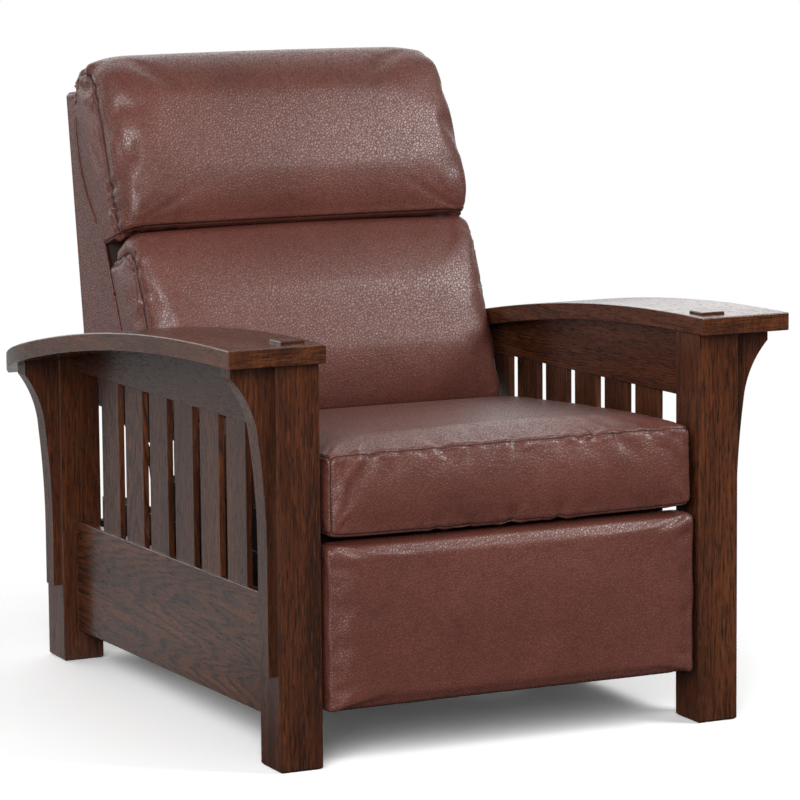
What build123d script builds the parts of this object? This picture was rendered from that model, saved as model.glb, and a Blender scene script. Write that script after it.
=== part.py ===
"""Mission reclining armchair: an oak slat frame with bowed arms, a leather seat that slides
forward, a back that leans and a footrest that unfolds. Millimetres.

Everything is drawn square to the wooden frame: X across, Y from front to rear, Z up the legs.
At the end the whole chair is leaned back by `lean` and stood on the floor, with its origin
under the middle of its box.
"""
import math
import os

from build123d import *

# Wooden frame
leg = 68.0
half_width = 380.4
frame_depth = 893.7
lean = 1.09
foot_chamfer = 3.7
ease = 2.0
tenon_share = 0.2941
running_gap = 0.3
pin_gap = 0.05
overrun = 40.0

# Arms
arm_thickness = 26.7
arm_underside = 590.0
arm_overhang = 79.7
arm_lap = 4.1
arm_front_overhang = 15.6
arm_rear_overhang = 101.9
bow_crest = 29.8
bow_fall = 97.32
plan_curve_run = 149.9
plan_curve_radius = 580.0
peg_side = 38.0
peg_proud = 4.0
peg_depth = 20.0
peg_chamfer = 1.5

# Side frames
rail_thickness = 17.0
lower_rail_bottom = 64.6
lower_rail_height = 178.5
upper_rail_drop = 103.7
slat_count = 6
slat_width_share = 0.09186
slat_thickness = 9.5
slat_pitch_share = 0.12677
slat_tenon = 12.0

# Corbels, one on the outer face of each leg
corbel_thickness = 32.0
corbel_foot = 9.0
corbel_tip_front = 62.7
corbel_tip_rear = 51.0
corbel_bottom = 138.0
corbel_blunt = 17.3
corbel_flare = 253.7
corbel_curve_shares = ((0.335, 0.058), (0.649, 0.218), (0.837, 0.46))

# Cross stretchers and the steel tracks that they carry
stretcher_thickness = 20.0
front_stretcher_y = 150.0
front_stretcher_height = 116.0
stretcher_top = 236.0
track_width = 30.0
track_height = 36.0
track_wall = 3.0
screw_radius = 3.0
screw_head_radius = 6.0
screw_head_height = 3.0
screw_length = 24.0
screw_inset = 10.0

# Seat
seat_clearance = 18.4
seat_lift = 40.0
seat_box_height = 60.0
seat_box_front = 78.0
seat_rear_step = 10.0
seat_rail_thickness = 20.0
seat_rail_setback = 64.0
seat_side_thickness = 32.0
glide_length = 50.0
glide_front_y = 260.0
glide_rear_inset = 80.0
plate_thickness = 4.0
cushion_front = -6.0
cushion_rear_step = 94.0
cushion_front_height = 116.0
cushion_rear_height = 88.0
seat_crown = 26.0
seat_front_bulge = 8.0
seat_rear_bulge = 4.0

# Springs of bent wire
wire_radius = 1.75
spring_count = 5
spring_half_zig = 22.0
spring_step = 26.0
spring_bend = 10.0
spring_drop = 6.0

# Footrest and its folding links
rest_clearance = 9.4
rest_front = -5.0
rest_bottom = 84.0
rest_top_gap = 10.3
rest_pad = 35.0
rest_crown = 3.0
board_thickness = 12.0
board_inset = 7.0
link_thickness = 6.0
link_width = 24.0
link_gap = 1.0
stud_radius = 5.0
tube_radius = 8.0
tube_share = 0.47
link_pivot_y = 122.0
link_pivot_rise = 24.0
link_length = 160.0
board_pivot_y = 62.0
board_pivot_drop = 10.0
bracket_flange = 30.0
bracket_height = 56.0
bracket_wall = 3.0

# Back
back_angle = 23.98
back_foot_step = 39.7
back_foot_rise = 34.0
back_cushion_inset = 0.8
shell_clearance = 6.8
shell_wall = 8.0
shell_foot_rise = 20.0
shell_height = 579.5
shell_top_set_back = 9.0
shell_top_depth = 38.8
shell_top_fall = 4.0
shell_rear_step = 255.8
stile_width = 28.0
stile_depth = 28.0
stile_clearance = 2.9
stile_top = 562.0
back_rail_height = 56.0
cushion_clearance = 0.6
lower_back_bottom = -20.0
lower_back_top = 284.0
lower_back_front_top = 270.0
lower_back_depth = 116.0
lower_back_crown = 26.0
lower_back_top_crown = 18.0
pillow_bottom = 318.0
pillow_top = 589.0
pillow_front_bottom = 326.0
pillow_front_top = 574.0
pillow_depth_bottom = 80.0
pillow_depth_top = 104.0
pillow_crown = 46.0
pillow_top_crown = 26.0
pillow_bottom_crown = 16.0
back_spring_count = 4

# Hinge of the back
hinge_setback = 243.7
hinge_rise = 90.0
hinge_radius = 6.0
hinge_eye = 14.0
bolt_head_radius = 7.0
bolt_head_height = 2.8

# How full a cushion is, and how far its ends are drawn in, from its middle to its end
station_shares = (0.0, 0.5, 0.86, 1.0)
full_shares = (1.0, 0.96, 0.74, 0.2)
drawn_in = (0.0, 0.0, 0.0, 5.0)

leg_inner = half_width - leg
leg_middle = half_width - leg / 2
tenon = leg * tenon_share
arm_outer = half_width + arm_overhang
arm_inner = leg_inner - arm_lap
plan_curve_start = frame_depth - plan_curve_run
rear_leg_front = frame_depth - leg
slat_width = (rear_leg_front - leg) * slat_width_share
slat_pitch = (rear_leg_front - leg) * slat_pitch_share
rail_outer = leg_middle + rail_thickness / 2
rail_inner = leg_middle - rail_thickness / 2
bow_run = frame_depth - bow_crest
bow_radius = (bow_run ** 2 + bow_fall ** 2) / (2 * bow_fall)
bow_centre_z = arm_underside + arm_thickness - bow_radius
lower_rail_top = lower_rail_bottom + lower_rail_height
upper_rail_bottom = arm_underside - upper_rail_drop
hinge_y = frame_depth - hinge_setback
seat_half_width = leg_inner - seat_clearance
seat_box_bottom = stretcher_top + seat_lift
seat_box_top = seat_box_bottom + seat_box_height
seat_box_rear = hinge_y - seat_rear_step
cushion_rear = hinge_y - cushion_rear_step
glide_rear_y = seat_box_rear - glide_rear_inset
hinge_z = seat_box_bottom + hinge_rise
seat_side_inner = seat_half_width - seat_side_thickness
track_inner_x = seat_side_inner
track_outer_x = track_inner_x + track_width
rest_half_width = leg_inner - rest_clearance
rest_top = seat_box_top - rest_top_gap
link_pivot_z = seat_box_bottom + link_pivot_rise
board_pivot_z = link_pivot_z - board_pivot_drop
back_foot_y = hinge_y + back_foot_step
back_foot_z = hinge_z + back_foot_rise
shell_half_width = arm_inner - shell_clearance
back_half_width = shell_half_width - back_cushion_inset
shell_bottom = back_foot_z + shell_foot_rise
back_sine = math.sin(math.radians(back_angle))
back_cosine = math.cos(math.radians(back_angle))
stile_foot = stile_clearance + (shell_foot_rise + shell_wall + stile_depth * back_sine) / back_cosine
plate_inner = seat_side_inner - plate_thickness
rear_link_outer = plate_inner - link_gap
rear_link_inner = rear_link_outer - link_thickness
front_link_outer = rear_link_inner - link_gap
front_link_inner = front_link_outer - link_thickness
stud_end = front_link_inner - link_gap

parts = {}


def block(x0, x1, y0, y1, z0, z1):
    """A box between two corners."""
    low = (min(x0, x1), min(y0, y1), min(z0, z1))
    size = (abs(x1 - x0), abs(y1 - y0), abs(z1 - z0))
    return Pos(*low) * Box(*size, align=(Align.MIN, Align.MIN, Align.MIN))


def mirrored(solid):
    """The same piece on the other side of the chair."""
    return mirror(solid, about=Plane.YZ)


def side_slab(points, x0, x1):
    """A plate across X whose outline is a list of (y, z) points."""
    outline = Polyline(*[(x0, y, z) for y, z in points], close=True)
    return extrude(make_face(outline), amount=x1 - x0, dir=(1, 0, 0))


def rod(x0, x1, y, z, radius):
    """A round bar along X."""
    bar = Cylinder(radius, abs(x1 - x0), align=(Align.CENTER, Align.CENTER, Align.MIN))
    return Pos(min(x0, x1), y, z) * Rot(Y=90) * bar


def bow_height(y, drop=0.0):
    """Height of the arm's bowed top at a depth y, or of a layer `drop` below it."""
    radius = bow_radius - drop
    return bow_centre_z + math.sqrt(radius ** 2 - (y - bow_crest) ** 2)


def bow_edge(x, y0, y1, drop=0.0):
    """An arc of the bow between two depths."""
    mid = (y0 + y1) / 2
    return ThreePointArc(*[(x, y, bow_height(y, drop)) for y in (y0, mid, y1)])


def below_arm(x0, x1):
    """Everything under the arm's lower face, used to fit what carries the arm."""
    y0 = -overrun
    y1 = frame_depth + overrun
    top = bow_edge(x0, y0, y1, arm_thickness)
    rest = Polyline(top @ 1, (x0, y1, -overrun), (x0, y0, -overrun), top @ 0)
    return extrude(make_face([top, rest]), amount=x1 - x0, dir=(1, 0, 0))


def eased(solid, direction, radius=ease):
    """Round over the edges that run one way."""
    return fillet(solid.edges().filter_by(direction), radius)


def arm_right():
    """A bowed board whose outer edge curves in towards the rear, with a square peg hole."""
    y0 = -arm_front_overhang
    y1 = frame_depth + arm_rear_overhang
    top = bow_edge(arm_inner, y0, y1)
    under = bow_edge(arm_inner, y1, y0, arm_thickness)
    ends = [Line(top @ 1, under @ 0), Line(under @ 1, top @ 0)]
    board = extrude(make_face([top, under] + ends), amount=arm_outer - arm_inner, dir=(1, 0, 0))
    run = y1 - plan_curve_start
    shift = plan_curve_radius - math.sqrt(plan_curve_radius ** 2 - run ** 2)
    half = plan_curve_radius - math.sqrt(plan_curve_radius ** 2 - (run / 2) ** 2)
    curve = ThreePointArc((arm_outer, plan_curve_start),
                          (arm_outer - half, plan_curve_start + run / 2),
                          (arm_outer - shift, y1))
    outline = Polyline(curve @ 1, (arm_inner, y1), (arm_inner, y0), (arm_outer, y0), curve @ 0)
    plan = extrude(make_face([curve, outline]), amount=arm_underside + overrun)
    board = board & plan
    board = fillet(board.edges(), ease)
    half_peg = peg_side / 2
    top_z = arm_underside + arm_thickness
    pocket = block(leg_middle - half_peg, leg_middle + half_peg,
                   leg / 2 - half_peg, leg / 2 + half_peg, top_z - peg_depth, top_z + overrun)
    return board - pocket


def peg_right():
    """The square peg that stands a little proud of the arm over the front leg."""
    half_peg = peg_side / 2
    top_z = arm_underside + arm_thickness
    peg = block(leg_middle - half_peg, leg_middle + half_peg,
                leg / 2 - half_peg, leg / 2 + half_peg, top_z - peg_depth, top_z + peg_proud)
    return chamfer(peg.edges().group_by(Axis.Z)[-1], peg_chamfer)


def slat_right(number):
    """One upright slat, housed in both rails."""
    run = (slat_count - 1) * slat_pitch + slat_width
    y0 = leg + (rear_leg_front - leg - run) / 2 + number * slat_pitch
    half = slat_thickness / 2
    board = block(leg_middle - half, leg_middle + half, y0, y0 + slat_width,
                  lower_rail_top - slat_tenon, upper_rail_bottom + slat_tenon)
    return eased(board, Axis.Z, ease / 2)


def rail_right(z0, z1):
    """A side rail that runs a tenon's length into both legs."""
    board = block(rail_inner, rail_outer, leg - tenon, rear_leg_front + tenon, z0, z1)
    return eased(board, Axis.Y)


def corbel_right(front, tip, top):
    """A bracket with a long concave curve. `front` is its front face, `top` the arm over it."""
    z_tip = top - corbel_blunt
    z_start = z_tip - corbel_flare
    face = half_width
    flare = tip - corbel_foot
    knots = [(face + corbel_foot + flare * out, front, z_start + corbel_flare * up)
             for up, out in corbel_curve_shares]
    start = (face + corbel_foot, front, z_start)
    end = (face + tip, front, z_tip)
    low = ThreePointArc(start, knots[0], knots[1])
    high = ThreePointArc(knots[1], knots[2], end)
    rest = Polyline(end, (face + tip, front, top + overrun), (face, front, top + overrun),
                    (face, front, corbel_bottom), (face + corbel_foot, front, corbel_bottom), start)
    solid = extrude(make_face([low, high, rest]), amount=corbel_thickness, dir=(0, 1, 0))
    return solid & below_arm(face, face + tip)


def leg_right(y0, pieces_let_in):
    """A square leg cut to the floor at its foot and to the bow at its top, and hollowed for
    what is let into it."""
    rise = math.tan(math.radians(lean))
    outline = [(y0, y0 * rise), (y0 + leg, (y0 + leg) * rise),
               (y0 + leg, arm_underside + overrun), (y0, arm_underside + overrun)]
    post = side_slab(outline, leg_inner, half_width)
    foot = post.faces().sort_by(Axis.Z)[0]
    post = chamfer(foot.edges(), foot_chamfer)
    post = eased(post, Axis.Z)
    post = post & below_arm(leg_inner, half_width)
    for piece in pieces_let_in:
        post = post - piece
    return post


def track_right():
    """A U-shaped steel track on the two stretchers."""
    y0 = front_stretcher_y
    y1 = rear_leg_front + (leg + stretcher_thickness) / 2
    outer = block(track_inner_x, track_outer_x, y0, y1, stretcher_top, stretcher_top + track_height)
    channel = block(track_inner_x + track_wall, track_outer_x - track_wall, y0 - overrun, y1 + overrun,
                    stretcher_top + track_wall, stretcher_top + track_height + overrun)
    return outer - channel


def track_screw(y):
    """A pan-head screw through the floor of a track into its stretcher."""
    floor = stretcher_top + track_wall
    head = Cylinder(screw_head_radius, screw_head_height, align=(Align.CENTER, Align.CENTER, Align.MIN))
    shank = Cylinder(screw_radius, screw_length, align=(Align.CENTER, Align.CENTER, Align.MAX))
    return Pos(track_inner_x + track_width / 2, y, floor) * (head + shank)


def track_screw_hole(y):
    """The hole that a track screw fills, in the track's floor and in its stretcher."""
    low = stretcher_top + track_wall - screw_length
    bore = Cylinder(screw_radius, screw_length + overrun, align=(Align.CENTER, Align.CENTER, Align.MIN))
    return Pos(track_inner_x + track_width / 2, y, low) * bore


def glide_right(y0):
    """A nylon block under the seat that runs in the track."""
    return block(track_inner_x + track_wall + running_gap, track_outer_x - track_wall - running_gap,
                 y0, y0 + glide_length, stretcher_top + track_wall + running_gap, seat_box_bottom)


def wire_spring(start, along, across, length):
    """A flat zigzag spring of bent wire from `start`, `length` long, swinging across its run."""
    steps = int((length - 2 * spring_step) / spring_step)
    pitch = (length - 2 * spring_step) / steps
    points = [start]
    for n in range(steps + 1):
        sign = 1 if n % 2 else -1
        points.append(start + along * (spring_step + n * pitch) + across * (sign * spring_half_zig))
    points.append(start + along * length)
    path = FilletPolyline(*points, radius=spring_bend)
    section = Plane(origin=start, z_dir=path % 0) * Circle(wire_radius)
    return sweep(section, path)


def cushion(corners, bulges, width, full=full_shares):
    """A stuffed box. `corners` are its side outline from the front foot round over the top, and
    `bulges` say how far the front, top, rear and bottom swell in the middle."""
    centre = Vector(0, sum(y for y, z in corners) / 4, sum(z for y, z in corners) / 4)
    sections = []
    for index in (-3, -2, -1, 0, 1, 2, 3):
        n = abs(index)
        x = math.copysign(station_shares[n], index) * width
        points = []
        for y, z in corners:
            point = Vector(0, y, z)
            inward = (centre - point).normalized() * drawn_in[n]
            points.append(point + inward + Vector(x, 0, 0))
        edges = []
        for n_edge in range(4):
            a = points[n_edge]
            b = points[(n_edge + 1) % 4]
            outward = Vector(0, -(b - a).Z, (b - a).Y).normalized()
            middle = (a + b) / 2 + outward * (bulges[n_edge] * full[n])
            edges.append(ThreePointArc(a, middle, b).edge())
        sections.append(Wire(edges))
    return Solid.make_loft(sections, ruled=False)


def back_point(up, out):
    """A point of the side view, `up` the back's plane from its foot and `out` in front of it."""
    return (back_foot_y + up * back_sine - out * back_cosine,
            back_foot_z + up * back_cosine + out * back_sine)


def back_slab(up0, up1, out0, out1, x0, x1):
    """A board square to the back's plane."""
    points = [back_point(up0, out0), back_point(up1, out0), back_point(up1, out1), back_point(up0, out1)]
    return side_slab(points, x0, x1)


def outer_back():
    """The wedge-shaped case of the back, open towards the cushions."""
    front_foot = (back_foot_y + shell_foot_rise * back_sine / back_cosine, shell_bottom)
    lower_rear = (hinge_y + shell_rear_step, shell_bottom)
    top_front = back_point(shell_height, -shell_top_set_back)
    top_rear = (top_front[0] + shell_top_depth, top_front[1] - shell_top_fall)
    outline = [front_foot, lower_rear, top_rear, top_front]
    case = side_slab(outline, -shell_half_width, shell_half_width)
    case = eased(case, Axis.X, shell_wall / 2)
    wall = shell_wall
    ceiling = top_rear[1] - wall
    hollow = side_slab([back_point(-overrun, overrun), (lower_rear[0] - wall, shell_bottom + wall),
                        (top_rear[0] - wall, ceiling), (top_front[0] - overrun, ceiling)],
                       -(shell_half_width - wall), shell_half_width - wall)
    above = block(-shell_half_width, shell_half_width, back_foot_y - shell_bottom,
                  lower_rear[0] + shell_bottom, shell_bottom + wall, ceiling)
    return case - (hollow & above)


def plate_with_eye(points, eye, eye_radius, x0, x1):
    """A flat plate whose outline ends in a round eye."""
    return side_slab(points, x0, x1) + rod(x0, x1, eye[0], eye[1], eye_radius)


def link(x0, x1, a, b):
    """A flat bar with round ends between two pivots."""
    run = Vector(0, b[0] - a[0], b[1] - a[1])
    side = Vector(0, -run.Z, run.Y).normalized() * (link_width / 2)
    points = [(p[0] + s * side.Y, p[1] + s * side.Z) for p, s in ((a, 1), (b, 1), (b, -1), (a, -1))]
    bar = side_slab(points, x0, x1)
    for y, z in (a, b):
        bar = bar + rod(x0, x1, y, z, link_width / 2)
    return bar


def pair(right):
    """A piece and its mirror image, as two solids of one node."""
    return Compound(children=[right, mirrored(right)])


def make_frame():
    """Legs, rails, slats, corbels, arms, stretchers and tracks."""
    slats = [slat_right(n) for n in range(slat_count)]
    lower = rail_right(lower_rail_bottom, lower_rail_top)
    upper = rail_right(upper_rail_bottom, arm_underside + overrun) & below_arm(rail_inner, rail_outer)
    for slat in slats:
        lower = lower - slat
        upper = upper - slat
    rear_y = rear_leg_front + (leg - stretcher_thickness) / 2
    rear_stretcher = block(-leg_inner - tenon, leg_inner + tenon, rear_y, rear_y + stretcher_thickness,
                           lower_rail_bottom, stretcher_top)
    front_stretcher = block(-rail_inner, rail_inner, front_stretcher_y,
                            front_stretcher_y + stretcher_thickness,
                            stretcher_top - front_stretcher_height, stretcher_top)
    front_leg = leg_right(0, [lower, upper])
    rear_leg = leg_right(rear_leg_front, [lower, upper, rear_stretcher])
    inset = (leg - corbel_thickness) / 2
    middle = inset + corbel_thickness / 2
    front_corbel = corbel_right(inset, corbel_tip_front, bow_height(middle, arm_thickness))
    rear_corbel = corbel_right(rear_leg_front + inset, corbel_tip_rear,
                               bow_height(rear_leg_front + middle, arm_thickness))
    front_screw_y = front_stretcher_y + screw_inset
    rear_screw_y = rear_y + screw_inset
    track = track_right() - track_screw_hole(front_screw_y) - track_screw_hole(rear_screw_y)
    for hole in (track_screw_hole(front_screw_y), track_screw_hole(rear_screw_y)):
        front_stretcher = front_stretcher - hole - mirrored(hole)
        rear_stretcher = rear_stretcher - hole - mirrored(hole)
    both_sides = {"leg_front": front_leg, "leg_rear": rear_leg, "arm": arm_right(),
                  "arm_peg": peg_right(), "lower_rail": lower, "upper_rail": upper,
                  "corbel_front": front_corbel, "corbel_rear": rear_corbel, "track": track}
    for n, slat in enumerate(slats):
        both_sides[f"slat_{n + 1}"] = slat
    for name, solid in both_sides.items():
        parts[name + "_right"] = solid
        parts[name + "_left"] = mirrored(solid)
    screws = [track_screw(front_screw_y), track_screw(rear_screw_y)]
    parts["track_screws"] = Compound(children=screws + [mirrored(screw) for screw in screws])
    parts["front_stretcher"] = front_stretcher
    parts["rear_stretcher"] = rear_stretcher


def make_seat():
    """The sliding seat: its box, springs, steel plates, glides and cushion."""
    top = seat_box_top
    side = block(seat_side_inner, seat_half_width, seat_box_front, seat_box_rear, seat_box_bottom, top)
    parts["seat_side_right"] = side
    parts["seat_side_left"] = mirrored(side)
    rail_front_y = seat_box_front + seat_rail_setback
    rail_rear_y = seat_box_rear - seat_rail_thickness
    front = rail_front_y + seat_rail_thickness
    parts["seat_front_rail"] = block(-plate_inner, plate_inner, rail_front_y, front,
                                     seat_box_bottom, top)
    parts["seat_rear_rail"] = block(-seat_side_inner, seat_side_inner, rail_rear_y, seat_box_rear,
                                    seat_box_bottom, top)
    springs = []
    for n in range(spring_count):
        x = (n - (spring_count - 1) / 2) * (2 * seat_side_inner / spring_count)
        start = Vector(x, front, top - spring_drop)
        springs.append(wire_spring(start, Vector(0, 1, 0), Vector(1, 0, 0), rail_rear_y - front))
    parts["seat_springs"] = Compound(children=springs)
    glides = [glide_right(glide_front_y), glide_right(glide_rear_y)]
    parts["seat_glides"] = Compound(children=glides + [mirrored(glide) for glide in glides])
    reach = 3 * link_width
    plate = block(plate_inner, seat_side_inner, seat_box_front + seat_rail_thickness,
                  link_pivot_y + reach, seat_box_bottom, top)
    plate = plate + rod(plate_inner, rear_link_inner - link_gap / 2, link_pivot_y, link_pivot_z, stud_radius)
    parts["link_plate_right"] = plate
    parts["link_plate_left"] = mirrored(plate)
    foot = [(hinge_y - 5 * hinge_eye, seat_box_bottom), (seat_box_rear, seat_box_bottom),
            (hinge_y + hinge_eye, hinge_z), (hinge_y - hinge_eye, hinge_z)]
    outer = seat_half_width + plate_thickness
    hinge = plate_with_eye(foot, (hinge_y, hinge_z), hinge_eye, seat_half_width, outer)
    hinge = hinge + rod(outer, shell_half_width + plate_thickness, hinge_y, hinge_z, hinge_radius)
    parts["hinge_plates"] = pair(hinge)
    bolt_y = hinge_y - 3 * hinge_eye
    bolts = [rod(outer, outer + bolt_head_height, bolt_y + step * hinge_eye,
                 seat_box_bottom + seat_box_height / 2, bolt_head_radius) for step in (0, 2)]
    parts["hinge_bolts"] = Compound(children=bolts + [mirrored(bolt) for bolt in bolts])
    lift = top + cushion_clearance
    corners = [(cushion_front, lift), (cushion_front, lift + cushion_front_height),
               (cushion_rear, lift + cushion_rear_height), (cushion_rear, lift)]
    bulges = (seat_front_bulge, seat_crown, seat_rear_bulge, -running_gap)
    parts["seat_cushion"] = cushion(corners, bulges, seat_half_width)


def make_footrest():
    """The padded footrest and the two pairs of links that unfold it."""
    pivot = (link_pivot_y, link_pivot_z)
    knee = (link_pivot_y, link_pivot_z - link_length)
    ankle = (board_pivot_y, board_pivot_z)
    rear_link = link(rear_link_inner, rear_link_outer, pivot, knee)
    rear_link = rear_link - rod(rear_link_inner, rear_link_outer, *pivot, stud_radius + pin_gap)
    rear_link = rear_link + rod(stud_end, rear_link_inner, *knee, stud_radius)
    tube_z = link_pivot_z - link_length * tube_share
    tube = rod(-rear_link_inner, rear_link_inner, link_pivot_y, tube_z, tube_radius)
    bore = rod(-rear_link_inner, rear_link_inner, link_pivot_y, tube_z, tube_radius - bracket_wall / 2)
    parts["rear_links"] = pair(rear_link)
    parts["link_tube"] = tube - bore
    front_link = link(front_link_inner, front_link_outer, knee, ankle)
    for y, z in (knee, ankle):
        front_link = front_link - rod(front_link_inner, front_link_outer, y, z, stud_radius + pin_gap)
    parts["front_links"] = pair(front_link)
    board_front = rest_front + rest_pad
    board_rear = board_front + board_thickness
    parts["footrest_board"] = block(-rest_half_width + board_inset, rest_half_width - board_inset,
                                    board_front, board_rear,
                                    rest_bottom + board_inset, rest_top - board_inset)
    low = board_pivot_z - bracket_height / 2
    arm = block(rear_link_inner, rear_link_outer, board_rear, board_pivot_y, low, low + bracket_height)
    arm = arm & side_slab([(board_rear, low), (board_pivot_y, board_pivot_z - link_width / 2),
                           (board_pivot_y, board_pivot_z + link_width / 2),
                           (board_rear, low + bracket_height)], rear_link_inner, rear_link_outer)
    arm = arm + rod(rear_link_inner, rear_link_outer, *ankle, link_width / 2)
    arm = arm + block(rear_link_inner, rear_link_inner + bracket_flange, board_rear,
                      board_rear + bracket_wall, low, low + bracket_height)
    arm = arm + rod(stud_end, rear_link_inner, *ankle, stud_radius)
    parts["footrest_brackets"] = pair(arm)
    rear = board_front - running_gap
    corners = [(rest_front, rest_bottom), (rest_front, rest_top), (rear, rest_top), (rear, rest_bottom)]
    parts["footrest_pad"] = cushion(corners, (rest_crown, rest_crown, -running_gap, rest_crown),
                                    rest_half_width)


def make_back():
    """The leaning back: its case, inner frame, springs, hinge arms and two cushions."""
    parts["outer_back"] = outer_back()
    outer = shell_half_width - shell_wall
    inner = outer - stile_width
    stile = back_slab(stile_foot, stile_top, 0, -stile_depth, inner, outer)
    parts["back_stile_right"] = stile
    parts["back_stile_left"] = mirrored(stile)
    low_top = stile_foot + back_rail_height
    high_foot = stile_top - back_rail_height
    parts["back_bottom_rail"] = back_slab(stile_foot, low_top, 0, -stile_depth, -inner, inner)
    parts["back_top_rail"] = back_slab(high_foot, stile_top, 0, -stile_depth, -inner, inner)
    foot = back_point(low_top, -spring_drop)
    along = Vector(0, back_sine, back_cosine)
    springs = []
    for n in range(back_spring_count):
        x = (n - (back_spring_count - 1) / 2) * (2 * inner / back_spring_count)
        springs.append(wire_spring(Vector(x, *foot), along, Vector(1, 0, 0), high_foot - low_top))
    parts["back_springs"] = Compound(children=springs)
    eye = (hinge_y, hinge_z)
    spread = 2 * hinge_eye
    arm = [(hinge_y - hinge_eye / 2, hinge_z + hinge_eye), (hinge_y + hinge_eye / 2, hinge_z - hinge_eye),
           (back_foot_y + 4 * spread, shell_bottom + spread),
           (back_foot_y + 3 * spread, shell_bottom + 3 * spread)]
    bracket = plate_with_eye(arm, eye, hinge_eye, shell_half_width, shell_half_width + plate_thickness)
    bracket = bracket - rod(seat_half_width, shell_half_width + plate_thickness, *eye,
                            hinge_radius + pin_gap)
    parts["back_brackets"] = pair(bracket)
    gap = cushion_clearance
    lower = [back_point(lower_back_bottom, lower_back_depth),
             back_point(lower_back_front_top, lower_back_depth),
             back_point(lower_back_top, gap), back_point(lower_back_bottom, gap)]
    parts["lower_back_cushion"] = cushion(lower, (lower_back_crown, lower_back_top_crown,
                                                  -running_gap, seat_rear_bulge), back_half_width)
    head = [back_point(pillow_front_bottom, pillow_depth_bottom),
            back_point(pillow_front_top, pillow_depth_top),
            back_point(pillow_top, gap), back_point(pillow_bottom, gap)]
    parts["head_pillow"] = cushion(head, (pillow_crown, pillow_top_crown, -running_gap,
                                          pillow_bottom_crown), back_half_width)


def stand_up():
    """Lean the chair back and put the origin on the floor under its middle."""
    for name in parts:
        parts[name] = Rot(X=-lean) * parts[name]
    box = Compound(children=[parts[name].moved(Location()) for name in parts]).bounding_box()
    shift = Vector(0, -(box.min.Y + box.max.Y) / 2, -box.min.Z)
    for name in parts:
        parts[name] = Pos(shift) * parts[name]
    return shift


def row_point(y, z, shift):
    """A point of the side view in the stood-up chair."""
    angle = math.radians(lean)
    return (y * math.cos(angle) + z * math.sin(angle) + shift.Y,
            z * math.cos(angle) - y * math.sin(angle) + shift.Z)


make_frame()
make_seat()
make_footrest()
make_back()
shift = stand_up()
os.makedirs("parts", exist_ok=True)
for name, solid in parts.items():
    export_step(solid, f"parts/{name}.step")
pivots = {"back hinge": (hinge_y, hinge_z), "link pivot": (link_pivot_y, link_pivot_z),
          "knee": (link_pivot_y, link_pivot_z - link_length), "ankle": (board_pivot_y, board_pivot_z)}
for name, (y, z) in pivots.items():
    print(name, [round(value, 3) for value in row_point(y, z, shift)])
print("nodes", len(parts), "shift", round(shift.Y, 3), round(shift.Z, 3))
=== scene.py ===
"""The looks of a mission reclining armchair: stained oak, padded leather and the studio round it.
Metres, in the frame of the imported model: X across, Y to the rear, Z up."""
import math

import bmesh
import bpy
import numpy as np
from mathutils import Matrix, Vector
from mathutils.bvhtree import BVHTree


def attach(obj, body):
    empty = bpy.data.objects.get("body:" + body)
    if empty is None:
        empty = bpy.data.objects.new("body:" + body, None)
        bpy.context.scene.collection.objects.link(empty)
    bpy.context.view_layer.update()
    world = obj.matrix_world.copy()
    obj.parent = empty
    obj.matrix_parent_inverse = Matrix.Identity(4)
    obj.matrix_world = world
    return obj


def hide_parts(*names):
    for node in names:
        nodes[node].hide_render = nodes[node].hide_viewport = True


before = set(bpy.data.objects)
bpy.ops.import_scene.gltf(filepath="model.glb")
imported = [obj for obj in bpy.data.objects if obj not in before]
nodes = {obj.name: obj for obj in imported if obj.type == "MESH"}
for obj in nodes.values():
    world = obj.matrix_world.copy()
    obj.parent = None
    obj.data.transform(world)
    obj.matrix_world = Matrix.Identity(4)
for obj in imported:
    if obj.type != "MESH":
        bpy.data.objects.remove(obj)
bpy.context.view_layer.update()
MM = 0.001

# The chair's own square frame leans back, so side-view points are given as the maker draws them
lean = math.radians(1.09)
chair_start = -0.499071
back_angle = math.radians(23.98)
back_foot = (0.6897, 0.400)

# Seat and footrest, as side-view points of the chair's own frame. A swell is a list of places
# round a cushion, with how far it moves forward and up there and the run of its rise in mm
seat_half_width = 0.3008
seat_corners = [(-0.004, 0.3380), (-0.002, 0.4540), (0.5550, 0.4290), (0.5550, 0.3380)]
seat_swell = [(0, 2, -6, 50), (0.22, 5, -2, 50), (0.5, 7, 0, 50), (0.9, 4, 1, 50), (1, 2, 3, 50),
              (1.03, 0, 8, 50), (1.1, 0, 10, 50), (1.4, 0, 12, 60), (1.7, 0, 9, 60),
              (2, 0, 3, 60), (2.5, 0, 0, 50), (3.86, 0, 0, 50), (3.96, 0, -4, 50)]
footrest_half_width = 0.3045
footrest_corners = [(-0.0055, 0.0800), (-0.0055, 0.3246), (0.0296, 0.3246), (0.0296, 0.0800)]
footrest_swell = [(0, 0, 0, 50), (0.5, 5, 0, 50), (1, 1, 1, 50), (1.5, 0, 1, 50), (2, 0, 0, 50),
                  (3, 0, 0, 50), (3.9, 0, 0, 50)]

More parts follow.
